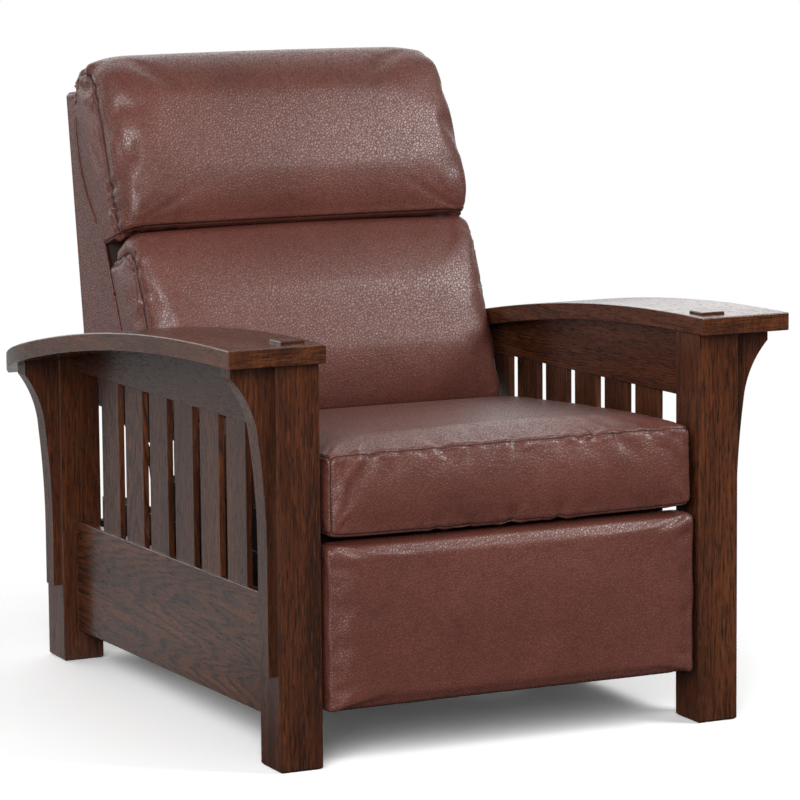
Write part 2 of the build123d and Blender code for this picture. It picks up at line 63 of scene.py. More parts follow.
# Back cushions, as points `up` the back's plane and `out` in front of it
lower_back_half_width = 0.2990
lower_back_corners = [(-0.018, 0.092), (0.272, 0.096), (0.279, 0.001), (-0.018, 0.001)]
lower_back_swell = [(0, 8, 0, 34), (0.1, 18, 0, 34), (0.3, 25, 0, 34), (0.6, 28, 0, 34),
                    (0.8, 28, 3, 34), (0.93, 23, 11, 32), (1.0, 12, 32, 28), (1.2, 3, 37, 26),
                    (1.5, 0, 33, 26), (1.8, 0, 20, 30), (2, 0, 6, 30), (2.2, 0, 0, 30),
                    (3, 0, 0, 30), (3.8, 0, 0, 34)]
pillow_half_width = 0.3030
pillow_corners = [(0.309, 0.061), (0.588, 0.075), (0.597, 0.001), (0.315, 0.001)]
pillow_swell = [(0, 33, 2, 40), (0.05, 44, -4, 34), (0.15, 55, -6, 32), (0.3, 58, 0, 32),
                (0.6, 54, 0, 34), (0.8, 48, 6, 44), (0.92, 39, 15, 60), (1.0, 20, 26, 72),
                (1.3, 0, 31, 72), (1.6, 0, 23, 62), (1.9, 0, 9, 50), (2, 0, 2, 40),
                (3, 0, 0, 40), (3.4, 2, 0, 40), (3.7, 12, 0, 40), (3.9, 24, 1, 40)]

# The leather case of the back, as side-view points of the chair's own frame
case_half_width = 0.3010
case_corners = [(0.6990, 0.4205), (0.9335, 0.9255), (0.9717, 0.9213), (0.9053, 0.4205)]
case_thickness = 0.005
case_swell = [(0, 0, 0, 60), (2, 0, 0, 60), (2.2, -3, 0, 60), (2.5, -5, 0, 60), (2.8, -3, 0, 60),
              (3, 0, 0, 60), (3.9, 0, 0, 60)]

# Cords sewn into the rear edges of the cushions' side panels, as points `up` and `out` of the back,
# and how far off the leather below them they lie
cord_radius = 0.0021
pillow_cord = [(0.318, 0.002), (0.345, -0.007), (0.370, -0.015), (0.400, -0.026), (0.427, -0.032),
               (0.460, -0.035), (0.495, -0.032), (0.525, -0.024), (0.549, -0.014), (0.568, -0.004),
               (0.583, 0.006)]
lower_cord = [(0.278, 0.003), (0.262, -0.001), (0.247, -0.002), (0.213, -0.001), (0.174, 0.001),
              (0.100, 0.001), (0.020, 0.001)]
pillow_cord_lift = 0.0030
lower_cord_lift = 0.0018

# The pillow's side panels: where they start, their lift at the rear edge and over the leather
# below, how far their front edge dips into the pillow, and their thickness and grid
panel_front = 0.016
panel_lift = 0.0026
panel_clearance = 0.0006
panel_dip = 0.0008
panel_thickness = 0.0045
panel_rows, panel_columns = 64, 12
edge_inset = 0.003

# Stitches beside the seams
stitch_pitch = 0.0052
stitch_length = 0.0040
thread_radius = 0.00042
stitch_slack = 0.10

# Camera, fitted to the photograph
camera_place = (-2.7268, -5.5697, 1.4147)
camera_yaw = 0.4639
camera_pitch = -0.155
camera_lens = 180.55
camera_sensor = 36.0

# Studio: strengths of the surroundings and where they turn from dim to bright, how bright the
# floor is to the camera, as a bounce and in reflections, and where it fades away
world_front = 0.07
world_back = 1.42
floor_seen = 1.35
floor_bounce = 0.22
floor_mirrored = (0.06, 0.52)
floor_fade = (0.45, 1.05)
floor_reach = 30.0
world_turn = (0.05, 0.80)

# Soft boxes: place, target, size and power
lamps = {"key": ((-3.1, -3.9, 2.4), (0, 0, 0.55), (3.2, 2.6), 250),
         "sheen": ((2.75, -2.2, 3.05), (0, 0.3, 0.8), (1.4, 1.5), 98)}

# Shares of a side that are closer than this are the same
same = 1e-6


def chair_point(x, y, z):
    """A point of the chair's own square frame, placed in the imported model's frame."""
    return Vector((x, y * math.cos(lean) + z * math.sin(lean) + chair_start,
                   z * math.cos(lean) - y * math.sin(lean)))


def back_point(up, out):
    """A side-view point `up` the back's plane and `out` in front of it."""
    y = back_foot[0] + up * math.sin(back_angle) - out * math.cos(back_angle)
    z = back_foot[1] + up * math.cos(back_angle) + out * math.sin(back_angle)
    return (y, z)


# Node trees

class Value:
    """One number, vector or colour in a node tree, with arithmetic that adds nodes."""

    def __init__(self, graph, socket):
        self.graph = graph
        self.socket = socket

    def __add__(self, other):
        return self.graph.maths("ADD", self, other)

    def __sub__(self, other):
        return self.graph.maths("SUBTRACT", self, other)

    def __rsub__(self, other):
        return self.graph.maths("SUBTRACT", other, self)

    def __mul__(self, other):
        return self.graph.maths("MULTIPLY", self, other)

    def __abs__(self):
        return self.graph.maths("ABSOLUTE", self)

    __radd__ = __add__
    __rmul__ = __mul__

    def fraction(self):
        return self.graph.maths("FRACT", self)

    def least(self, other):
        return self.graph.maths("MINIMUM", self, other)

    def step_up(self, low, high, to_low=0.0, to_high=1.0):
        """Smoothly from to_low at `low` to to_high at `high`."""
        return self.graph.node("ShaderNodeMapRange", {"interpolation_type": "SMOOTHSTEP"},
                               {0: self, 1: low, 2: high, 3: to_low, 4: to_high})


class Graph:
    """A node tree, with a short way to write each node that this chair needs."""

    def __init__(self, tree):
        self.tree = tree

    def node(self, kind, settings, inputs, output=0):
        """Adds a node: its settings come first, then the values or links of its sockets."""
        made = self.tree.nodes.new(kind)
        for name, value in settings.items():
            if name == "stops":
                place_stops(made.color_ramp.elements, value)
            else:
                setattr(made, name, value)
        for name, value in inputs.items():
            self.feed(made.inputs[name], value)
        return Value(self, made.outputs[output]) if made.outputs else None

    def feed(self, socket, value):
        if isinstance(value, Value):
            self.tree.links.new(value.socket, socket)
        else:
            socket.default_value = value

    def maths(self, operation, *values):
        return self.node("ShaderNodeMath", {"operation": operation}, dict(enumerate(values)))

    def position(self, offset=(0, 0, 0), scale=(1, 1, 1)):
        """The surface point in metres, moved and then scaled."""
        place = self.node("ShaderNodeTexCoord", {}, {}, "Object")
        moved = self.node("ShaderNodeVectorMath", {"operation": "ADD"}, {0: place, 1: offset})
        return self.node("ShaderNodeVectorMath", {"operation": "MULTIPLY"}, {0: moved, 1: scale})

    def facing(self, axis):
        """How squarely the surface faces along an axis, from 0 to 1."""
        return abs(self.split(self.node("ShaderNodeNewGeometry", {}, {}, "True Normal"))[axis])

    def seam_distances(self):
        """The distances to the two nearest seams, from the UV map `seam`."""
        return self.split(self.node("ShaderNodeUVMap", {"uv_map": "seam"}, {}))[:2]

    def split(self, vector):
        parts = self.node("ShaderNodeSeparateXYZ", {}, {0: vector}).socket.node.outputs
        return [Value(self, part) for part in parts]

    def join(self, x, y, z):
        return self.node("ShaderNodeCombineXYZ", {}, {0: x, 1: y, 2: z})

    def noise(self, where, scale, detail, rough):
        return self.node("ShaderNodeTexNoise", {},
                         {"Vector": where, "Scale": scale, "Detail": detail, "Roughness": rough},
                         "Fac")

    def cells(self, where, scale, feature):
        return self.node("ShaderNodeTexVoronoi", {"feature": feature},
                         {"Vector": where, "Scale": scale}, "Distance")

    def ramp(self, value, places, colours):
        """Colours by value: each colour stands at its place."""
        return self.node("ShaderNodeValToRGB", {"stops": list(zip(places, colours))}, {0: value})

    def mix(self, share, first, second):
        """A share of the second colour over the first, which may be a link or three numbers."""
        first, second = [(*c, 1) if isinstance(c, tuple) else c for c in (first, second)]
        return self.node("ShaderNodeMix", {"data_type": "RGBA", "clamp_factor": True},
                         {0: share, 6: first, 7: second}, 2)

    def bump(self, height, distance, strength, below=None):
        inputs = {"Strength": strength, "Distance": distance, "Height": height}
        if below:
            inputs["Normal"] = below
        return self.node("ShaderNodeBump", {}, inputs)


class Finish(Graph):
    """The node tree of a material, which ends in its principled shader."""

    def __init__(self, name):
        self.material = bpy.data.materials.new(name)
        self.material.use_nodes = True
        super().__init__(self.material.node_tree)
        self.shader = self.tree.nodes["Principled BSDF"]

    def surface(self, **inputs):
        """Feeds the shader's sockets by name, with underscores for spaces."""
        for name, value in inputs.items():
            self.feed(self.shader.inputs[name.replace("_", " ")], value)
        return self.material


def place_stops(points, stops):
    while len(points) < len(stops):
        points.new(0.5)
    for point, (place, colour) in zip(points, stops):
        point.position = place
        point.color = (*colour, 1)


# Meshes and objects

def stand(name, data):
    """A new object in the scene, at the origin."""
    made = bpy.data.objects.new(name, data)
    bpy.context.scene.collection.objects.link(made)
    return made


def finished_mesh(made):
    """The mesh that an object has after its modifiers."""
    graph = bpy.context.evaluated_depsgraph_get()
    return bpy.data.meshes.new_from_object(made.evaluated_get(graph))


def numbers(items, name, width, kind=float):
    """The named numbers of a mesh's items as rows of an array."""
    values = np.empty(len(items) * width, dtype=kind)
    items.foreach_get(name, values)
    return values.reshape(-1, width)


def smooth_faces(mesh):
    mesh.polygons.foreach_set("use_smooth", [True] * len(mesh.polygons))


def face_outward(mesh, merged=0.0):
    """Turns the faces of a closed mesh outwards, once corners closer than `merged` are one."""
    work = bmesh.new()
    work.from_mesh(mesh)
    if merged:
        bmesh.ops.remove_doubles(work, verts=work.verts, dist=merged)
    bmesh.ops.recalc_face_normals(work, faces=work.faces)
    work.to_mesh(mesh)
    work.free()


# Materials

# Linear colours: the stain from dark to light, its pores and streaks, and the leather's pebbles,
# painted shade in the pebbles' creases and in the seams, and worn edges
stain = ((0.042, 0.0124, 0.0058), (0.086, 0.0252, 0.0102), (0.152, 0.0455, 0.0160))
pore_brown = (0.0105, 0.0046, 0.0030)
streak_brown = (0.22, 0.066, 0.021)
hide = ((0.120, 0.0345, 0.0235), (0.155, 0.0460, 0.0325), (0.190, 0.0610, 0.0440))
painted_crease_shade = (0.052, 0.0130, 0.0085)
painted_seam_shade = (0.012, 0.0045, 0.0035)
rubbed_red = (0.180, 0.062, 0.046)
# Frame wood painted nearly black: painted shade where it shows in the gaps between the cushions
painted_gap_shade_tones = ((0.012, 0.0055, 0.0038), (0.022, 0.0100, 0.0066), (0.038, 0.0170, 0.0110))
nylon_white = ((0.60, 0.59, 0.54), (0.72, 0.71, 0.66))
thread_brown = ((0.030, 0.010, 0.008), (0.062, 0.020, 0.015))

# Cells to the metre in the leather's grain, and how much the grain is drawn out along a board
pebble_scale = 215.0
small_pebble_scale = 700.0
figure_stretch = 0.09
pore_stretch = 0.075
hidden_stretch = 0.06


def oak(name, along, across, seed, figured, tone):
    """Dark stained oak with its grain along one axis: figure, growth lines, pores and streaks.
    `across` is the axis of the board's width; `figured` boards show arched grain."""
    graph = Finish(name)
    shift = (3.7 * seed % 5, 2.3 * seed % 7, 1.9 * seed % 3)
    length, width = "XYZ".index(along), "XYZ".index(across)

    def drawn_out(axis, share):
        scale = [1.0, 1.0, 1.0]
        scale[axis] = share
        return graph.position(shift, tuple(scale))

    slow = drawn_out(length, figure_stretch)
    on_end = graph.facing(length).step_up(0.80, 0.90)
    fine = graph.mix(on_end, drawn_out(length, pore_stretch), drawn_out(width, pore_stretch))
    place = graph.split(graph.position())
    drift = graph.noise(slow, 9.0, 3.0, 0.5)
    wander = graph.noise(slow, 30.0, 2.0, 0.5)
    if figured:
        middle = place[width] + (0.013 * (seed % 3) - 0.15)
        arch = middle * middle * 10.0 + place[length] * 0.30
        rings = (arch + drift * 0.42 + wander * 0.10) * 40.0
    else:
        rings = (place[width] + drift * 0.075 + wander * 0.030 + 0.17 * seed) * 120.0
    ring = rings.fraction()
    late = ring.step_up(0.35, 0.92) * (1.0 - ring.step_up(0.93, 1.0))
    pore = graph.noise(fine, 600.0, 2.0, 0.55).step_up(0.53, 0.64)
    long_pores = graph.noise(fine, 330.0, 3.0, 0.65).step_up(0.47, 0.66)
    late_share, long_share = (0.70, 0.48) if figured else (0.26, 0.62)
    dark = late * late_share + pore * 0.50 + long_pores * long_share
    patch = graph.noise(slow, 22.0, 4.0, 0.6)
    warm = graph.ramp(patch + tone, (0.30, 0.52, 0.74), stain)
    streak = graph.noise(fine, 460.0, 2.0, 0.5).step_up(0.55, 0.72)
    colour = graph.mix(streak * 0.32, graph.mix(dark, warm, pore_brown), streak_brown)
    height = 1.0 - pore * 0.6 - long_pores * 0.4 - late * 0.25
    wear = graph.noise(graph.position(shift), 14.0, 3.0, 0.5)
    return graph.surface(Base_Color=colour, Normal=graph.bump(height, 0.00022, 0.55),
                         Roughness=pore * 0.14 + long_pores * 0.09 + wear * 0.10 + 0.16,
                         Coat_Weight=0.28 - pore * 0.20, Coat_Roughness=0.18)


def leather(name, seed):
    """Pebbled red-brown leather. UV map `seam` holds the distances to the two nearest seams."""
    graph = Finish(name)
    here = graph.position((1.3 * seed, 0.7 * seed, 2.1 * seed))
    wobble = graph.noise(here, 170.0, 2.0, 0.5)
    x, y, z = graph.split(here)
    moved = graph.join(x + wobble * 0.0042, y + wobble * 0.0038, z + wobble * 0.0035)
    pebble = graph.cells(moved, pebble_scale, "SMOOTH_F1")
    crease = graph.cells(moved, pebble_scale, "DISTANCE_TO_EDGE")
    small = graph.cells(moved, small_pebble_scale, "DISTANCE_TO_EDGE")
    cloud = graph.noise(here, 5.5, 4.0, 0.55)
    mottle = graph.noise(here, 60.0, 3.0, 0.6)
    colour = graph.ramp(cloud * 0.75 + mottle * 0.25, (0.32, 0.50, 0.68), hide)
    # Painted shade: the valleys between the pebbles are painted darker
    valley = 1.0 - crease.step_up(0.02, 0.22)
    colour = graph.mix(valley * 0.50, colour, painted_crease_shade)
    grain = crease.step_up(0.0, 0.30) * 0.75 + small.step_up(0.0, 0.3) * 0.18 - pebble * 0.25
    slack = graph.bump(graph.noise(here, 26.0, 3.0, 0.5), 0.0022, 0.35)
    normal = graph.bump(grain, 0.00042, 0.9, slack)
    first, second = graph.seam_distances()
    near = first.least(second)
    groove = 1.0 - near.step_up(0.0004, 0.0016)
    rolled = (1.0 - near.step_up(0.002, 0.0070)) * near.step_up(0.0006, 0.0030)
    # Painted shade: the seam grooves are painted nearly black
    colour = graph.mix(groove * 0.85, colour, painted_seam_shade)
    rubbed = (1.0 - near.step_up(0.003, 0.022)) * mottle.step_up(0.35, 0.7)
    colour = graph.mix(rubbed * 0.25, colour, rubbed_red)
    normal = graph.bump(rolled * 0.6 - groove * 1.2, 0.0008, 0.8, normal)
    roughness = mottle * 0.10 + valley * 0.16 + 0.29 + groove * 0.25
    polish = (0.62 - valley * 0.56) * (1.0 - groove)
    return graph.surface(Base_Color=colour, Roughness=roughness, Normal=normal,
                         Coat_Weight=polish, Coat_Roughness=0.31)


def steel(name, colour, metallic, rough):
    """Painted or bright steel with faint brushed and blotchy wear."""
    graph = Finish(name)
    here = graph.position((0.3, 0.1, 0.2))
    blotch = graph.noise(here, 90.0, 4.0, 0.6)
    grit = graph.noise(here, 900.0, 2.0, 0.5)
    worn = tuple(min(1.0, part * 1.9 + 0.02) for part in colour)
    mixed = graph.mix(blotch.step_up(0.45, 0.75) * 0.5, colour, worn)
    return graph.surface(Base_Color=mixed, Metallic=metallic, Roughness=blotch * 0.18 + rough,
                         Normal=graph.bump(grit, 0.00008, 0.4))


def poplar(name, along):
    """Frame wood hidden inside the upholstery, painted nearly black as painted shade where it shows
    in the gaps.
    """
    graph = Finish(name)
    stretch = [1.0, 1.0, 1.0]
    stretch["XYZ".index(along)] = hidden_stretch
    here = graph.position((0.9, 0.4, 0.2), tuple(stretch))
    grain = graph.noise(here, 120.0, 4.0, 0.6)
    broad = graph.noise(here, 18.0, 3.0, 0.5)
    colour = graph.ramp(grain * 0.6 + broad * 0.4, (0.3, 0.5, 0.7), painted_gap_shade_tones)
    return graph.surface(Base_Color=colour, Roughness=grain * 0.2 + 0.55,
                         Normal=graph.bump(grain, 0.0003, 0.5))


def speckled(name, colours, scale, detail, rough, depth, strength):
    """A plain stuff with a fine speck of two colours: moulded nylon or waxed thread."""
    graph = Finish(name)
    speck = graph.noise(graph.position(), scale, detail, 0.6)
    return graph.surface(Base_Color=graph.ramp(speck, (0.3, 0.7), colours),
                         Roughness=speck * 0.1 + rough, Normal=graph.bump(speck, depth, strength))


def paint(node_name, material):
    """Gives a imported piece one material."""
    slots = nodes[node_name].data.materials
    slots.clear()
    slots.append(material)


def finish_wood():
    """Every show-wood board has its own cut of oak, with the grain along its length."""
    seed = 1
    tone_range = 0.05
    for side in ("right", "left"):
        boards = [("leg_front", "Z", "X", False), ("leg_rear", "Z", "X", False),
                  ("arm", "Y", "X", False), ("arm_peg", "X", "Y", False),
                  ("lower_rail", "Y", "Z", True), ("upper_rail", "Y", "Z", True),
                  ("corbel_front", "Z", "X", False), ("corbel_rear", "Z", "X", False)]
        boards += [(f"slat_{n}", "Z", "Y", n % 5 == 0) for n in range(1, 7)]
        for board, along, across, figured in boards:
            name = f"{board}_{side}"
            tone = tone_range * math.sin(seed * 2.4)
            paint(name, oak(f"oak_{name}", along, across, seed, figured, tone))
            seed += 1


def finish_hidden():
    """Frame wood, steelwork, springs and glides."""
    across = poplar("poplar_across", "X")
    deep = poplar("poplar_deep", "Y")
    tall = poplar("poplar_tall", "Z")
    black = steel("black_steel", (0.018, 0.018, 0.019), 0.6, 0.38)
    spring = steel("spring_steel", (0.20, 0.20, 0.21), 1.0, 0.30)
    zinc = steel("zinc_steel", (0.55, 0.55, 0.53), 1.0, 0.25)
    nylon = speckled("nylon", nylon_white, 700.0, 3.0, 0.42, 0.00006, 0.4)
    uses = {across: ("front_stretcher", "rear_stretcher", "seat_front_rail", "seat_rear_rail",
                     "back_bottom_rail", "back_top_rail", "footrest_board"),
            deep: ("seat_side_right", "seat_side_left"),
            tall: ("back_stile_right", "back_stile_left"),
            black: ("track_right", "track_left", "link_plate_right", "link_plate_left",
                    "hinge_plates", "back_brackets", "rear_links", "front_links", "link_tube",
                    "footrest_brackets"),
            spring: ("seat_springs", "back_springs"),
            zinc: ("track_screws", "hinge_bolts"),
            nylon: ("seat_glides",)}
    for material, names in uses.items():
        for name in names:
            paint(name, material)


# Padded leather

def spaced(length, fine, coarse, border):
    """Places from 0 to length: `fine` apart within `border` of each end, then up to `coarse`."""
    growth = 1.35
    half = [0.0]
    step = fine
    while half[-1] + step < length / 2:
        half.append(half[-1] + step)
        if half[-1] >= border:
            step = min(step * growth, coarse)
    scale = (length / 2) / (half[-1] + step / 2)
    rising = [place * scale for place in half]
    return rising + [length - place for place in reversed(rising)]


side_names = {"left": (0, 0), "right": (0, 1), "front": (1, 0), "rear": (1, 1),
              "foot": (2, 0), "top": (2, 1)}


def round_corner(p, q, size_p, size_q, radius):
    """Two shares of a rectangle, moved so that the corner nearest to them is a quarter circle."""
    end_p, end_q = round(p), round(q)
    u = 1 - abs(p - end_p) * size_p / radius
    v = 1 - abs(q - end_q) * size_q / radius
    if u <= 0 or v <= 0:
        return p, q
    scale = max(u, v) / math.hypot(u, v)
    new_p = radius * (1 - u * scale) / size_p
    new_q = radius * (1 - v * scale) / size_q
    return (abs(end_p - new_p), abs(end_q - new_q))


class Pad:
    """A six-sided stuffed form. Side-view corners run front foot, front top, rear top, rear foot.
    `seams` are pairs of side names whose shared edge is sewn, and `radii` round such edges."""

    def __init__(self, name, corners, half_width, seams, radii, fine=0.0045, coarse=0.011,
                 left_open=()):
        self.name = name
        self.corners = [Vector((0, y, z)) for y, z in corners]
        self.half_width = half_width
        self.seams = {frozenset(side_names[side] for side in pair) for pair in seams}
        self.radii = [(side_names[first], side_names[second], radius)
                      for (first, second), radius in radii.items()]
        self.left_open = [side_names[side] for side in left_open]
        foot_front, top_front, top_rear, foot_rear = self.corners
        self.size = (2 * half_width,
                     ((foot_front - foot_rear).length + (top_front - top_rear).length) / 2,
                     ((top_front - foot_front).length + (top_rear - foot_rear).length) / 2)
        self.places = []
        for axis, length in enumerate(self.size):
            widest = max([radius for first, second, radius in self.radii
                          if axis in (first[0], second[0])])
            self.places.append(spaced(length, fine, coarse, max(widest, 0.03)))
        self.build()

    def at(self, a, b, c):
        """The point at shares a across, b front to rear and c foot to top."""
        share = [a, b, c]
        for (p, end_p), (q, end_q), radius in self.radii:
            if round(share[p]) == end_p and round(share[q]) == end_q:
                share[p], share[q] = round_corner(share[p], share[q], self.size[p], self.size[q],
                                                  radius)
        a, b, c = share
        foot_front, top_front, top_rear, foot_rear = self.corners
        low = foot_front.lerp(foot_rear, b)
        high = top_front.lerp(top_rear, b)
        point = low.lerp(high, c)
        return chair_point((2 * a - 1) * self.half_width, point.y, point.z)

    def build(self):
        """The six sides as one closed grid, with each vertex's shares kept in `shares`."""
        shares = [np.array(places) / size for places, size in zip(self.places, self.size)]
        counts = [len(values) for values in shares]
        index = {}
        kept = []
        vertices = []

        def vertex(key):
            if key not in index:
                index[key] = len(vertices)
                here = tuple(float(shares[axis][key[axis]]) for axis in range(3))
                kept.append(here)
                vertices.append(self.at(*here))
            return index[key]

        faces = []
        self.sides = []
        for axis in range(3):
            u, v = [n for n in range(3) if n != axis]
            for end in (0, counts[axis] - 1):
                if (axis, 1 if end else 0) in self.left_open:
                    continue
                for i in range(counts[u] - 1):
                    for j in range(counts[v] - 1):
                        face = []
                        for di, dj in ((0, 0), (1, 0), (1, 1), (0, 1)):
                            key = [0, 0, 0]
                            key[axis], key[u], key[v] = end, i + di, j + dj
                            face.append(vertex(tuple(key)))
                        faces.append(face)
                        self.sides.append((axis, 0 if end == 0 else 1))
        self.shares = np.array(kept)
        self.rest = np.array([tuple(v) for v in vertices])
        mesh = bpy.data.meshes.new(self.name)
        mesh.from_pydata([tuple(v) for v in vertices], [], faces)
        self.add_seams(mesh)
        face_outward(mesh)
        self.object = stand(self.name, mesh)

    def add_seams(self, mesh):
        """UV map `seam`: a side's distances to its nearer sewn edges along its two axes."""
        layer = mesh.uv_layers.new(name="seam")
        far = 1.0
        for polygon, side in zip(mesh.polygons, self.sides):
            others = [n for n in range(3) if n != side[0]]
            for loop, vertex in zip(polygon.loop_indices, polygon.vertices):
                away = []
                for n in others:
                    share = self.shares[vertex][n]
                    reaches = [(share if end == 0 else 1 - share) * self.size[n]
                               for end in (0, 1) if frozenset((side, (n, end))) in self.seams]
                    away.append(min(reaches + [far]))
                layer.data[loop].uv = away

    def seam_distance(self):
        """The distance of each vertex from its nearest seam."""
        mesh = self.object.data
        pairs = numbers(mesh.uv_layers["seam"].data, "uv", 2)
        owners = numbers(mesh.loops, "vertex_index", 1, int)[:, 0]
        distance = np.ones(len(mesh.vertices))
        np.minimum.at(distance, owners, pairs.min(axis=1))
        return distance

    def move(self, offset):
        """Adds an array of offsets to the vertices."""
        self.rest = self.rest + offset
        self.object.data.vertices.foreach_set("co", self.rest.ravel())
        self.object.data.update()

    def normals(self):
        return numbers(self.object.data.vertices, "normal", 3)

    def swell(self, keys, dome, bulb=(0.0, 0.0), side=0.0):
        """Fills out the band that runs round the pad. Each key is a place, the most that it moves
        forward and up there, and the run over which that builds from a side panel. Place runs 0 to
        1 up the front, to 2 over the top, to 3 down the rear and to 4 along the foot. `dome` of the
        move waits for the middle, `bulb` swells the band out beside the left and right panels, and
        `side` bulges the panels themselves."""
        a, b, c = self.shares.T
        at_front, at_rear = b < same, b > 1 - same
        at_foot, at_top = c < same, c > 1 - same
        place = np.select([at_front, at_top, at_rear, at_foot], [c, 1 + b, 3 - c, 4 - b], -1.0)
        band = at_front | at_top | at_rear | at_foot
        table = np.array(keys) * (1, MM, MM, MM)
        offsets = np.linspace(-0.04, 0.04, 7)
        forward, upward, run = [
            sum(np.interp(place + offset, table[:, 0], table[:, column], period=4.0)
                for offset in offsets) / len(offsets) for column in (1, 2, 3)]
        inward = np.minimum(a, 1 - a) * self.size[0]
        near = np.clip(inward / run, 0, 1)
        profile = (1 - dome) * np.sqrt(1 - (1 - near) ** 2) + dome * (1 - (2 * a - 1) ** 2)
        rise = np.array(self.corners[2] - self.corners[3])
        rise /= np.linalg.norm(rise)
        ahead = np.array((0, -rise[2], rise[1]))
        moved = (forward[:, None] * ahead + upward[:, None] * rise) * (profile * band)[:, None]
        share = np.hypot(forward, upward) / max(np.hypot(table[:, 1], table[:, 2]))
        push = np.sin(near * math.pi) * band * share
        moved[:, 0] += push * np.where(a < 0.5, -bulb[0], bulb[1]) * MM
        at_side = ((a < same) | (a > 1 - same)) & ~band
        middle = (1 - (2 * b - 1) ** 2) * (1 - (2 * c - 1) ** 2)
        moved[:, 0] += np.where(at_side, np.sign(a - 0.5) * middle * side * MM, 0)
        self.move(moved)

    def thicken(self, thickness):
        """Turns an open shell into leather of an even thickness."""
        modifier = self.object.modifiers.new("thickness", "SOLIDIFY")
        modifier.thickness = thickness
        modifier.offset = -1
        self.apply()

    def inflate(self, resting, pressure, cap, shrink):
        """Cloth with air inside. `resting` sides stay put by their weight, sewn edges are held a
        little and draw in by `shrink`, and no point moves further than `cap`."""
        frames, stiffness, seam_reach, seam_hold = 20, 15.0, 0.003, 0.4
        sheet = self.object
        seams = np.clip(1 - self.seam_distance() / seam_reach, 0, 1)
        held = seams * seam_hold
        for name, weight in resting:
            axis, end = side_names[name]
            held[np.abs(self.shares[:, axis] - end) < same] = weight
        for name, weights in (("held", held), ("gathered", seams)):
            group = sheet.vertex_groups.new(name=name)
            for index in np.flatnonzero(weights > 0):
                group.add([int(index)], float(weights[index]), "REPLACE")
        cloth = sheet.modifiers.new("padding", "CLOTH")
        settings = cloth.settings
        for name, value in (("quality", 6), ("mass", 0.25), ("tension_stiffness", stiffness),
                            ("compression_stiffness", stiffness),
                            ("shear_stiffness", 0.4 * stiffness), ("bending_stiffness", 0.35),
                            ("tension_damping", 8), ("air_damping", 4), ("use_pressure", True),
                            ("uniform_pressure_force", pressure), ("vertex_group_mass", "held"),
                            ("pin_stiffness", 1.0), ("vertex_group_shrink", "gathered"),
                            ("shrink_min", 0.0), ("shrink_max", shrink)):
            setattr(settings, name, value)
        settings.effector_weights.gravity = 0
        cloth.point_cache.frame_start = 1
        cloth.point_cache.frame_end = frames
        scene = bpy.context.scene
        for number in range(1, frames + 1):
            scene.frame_set(number)
        graph = bpy.context.evaluated_depsgraph_get()
        moved = numbers(sheet.evaluated_get(graph).data.vertices, "co", 3) - self.rest
        reach = np.linalg.norm(moved, axis=1)
        moved *= np.minimum(1.0, cap / np.maximum(reach, 1e-9))[:, None]
        sheet.modifiers.remove(cloth)
        sheet.vertex_groups.clear()
        scene.frame_set(1)
        self.move(moved)

    def smooth(self):
        """One subdivision, applied, with smooth shading."""
        modifier = self.object.modifiers.new("subdivision", "SUBSURF")
        modifier.levels = 1
        modifier.render_levels = 1
        self.apply()

    def apply(self):
        """Turns the modifiers' result into the pad's own mesh."""
        result = finished_mesh(self.object)
        self.object.modifiers.clear()
        old = self.object.data
        self.object.data = result
        bpy.data.meshes.remove(old)
        result.name = self.name
        smooth_faces(result)
        self.rest = numbers(result.vertices, "co", 3)

    def furrow(self, depth=0.0013, roll=0.0006):
        """The seams pull in, and the leather rolls up beside them."""
        roll_place, roll_width, groove_width = 0.0065, 0.0035, 0.0024
        away = self.seam_distance()
        rise = (roll * np.exp(-((away - roll_place) / roll_width) ** 2)
                - depth * np.exp(-(away / groove_width) ** 2))
        self.move(self.normals() * rise[:, None])

    def pucker(self, seed, count, edges, depth, reach, width=0.0042):
        """Short folds that run off the seams. `edges` are (start shares, end shares, direction):
        folds lie at seeded places between start and end and run in `direction`."""
        random = np.random.default_rng(seed)
        offset = np.zeros_like(self.rest)
        outward = self.normals()
        for number in range(count):
            start, end, direction = edges[number % len(edges)]
            share = random.uniform(0.03, 0.97)
            corner = [s + (e - s) * share for s, e in zip(start, end)]
            point = np.array(self.at(*corner))
            tilt = random.normal(0, 0.35, 3)
            way = np.array(direction, dtype=float) + tilt
            way = way / np.linalg.norm(way)
            size = random.uniform(0.45, 1.25)
            run = self.rest - point
            nearby = np.flatnonzero(np.linalg.norm(run, axis=1) < 2.6 * reach * size)
            run = run[nearby]
            normal = outward[nearby]
            flat = way - normal * (normal @ way)[:, None]
            flat /= np.maximum(np.linalg.norm(flat, axis=1), 1e-6)[:, None]
            along = np.einsum("ij,ij->i", run, flat)
            beside = np.einsum("ij,ij->i", run, np.cross(flat, normal))
            beside = beside - 0.10 * along * math.sin(7.0 * number)
            fade = np.exp(-(along / (reach * size * 0.62)) ** 2) * (along > -0.006)
            thin = width * (0.7 + 0.5 * size) * (1 + np.clip(along, 0, None) / 0.03)
            banks = np.exp(-((np.abs(beside) - 1.9 * thin) / thin) ** 2)
            fold = np.exp(-(beside / thin) ** 2) - 0.6 * banks
            offset[nearby] -= normal * (fold * fade * depth * size)[:, None]
        self.move(offset)

    def row(self, side, seam_side):
        """Points on one side along its seam with another side, one grid line away from it."""
        lift = 0.0002
        axis, end = side_names[side]
        across, far = side_names[seam_side]
        share = self.places[across][-2 if far else 1] / self.size[across]
        near = np.abs(self.shares[:, [axis, across]] - (end, share)).max(axis=1) < same
        line = np.flatnonzero(near)
        line = line[np.argsort(self.shares[line, 3 - axis - across])]
        return (self.rest + self.normals() * lift)[line]

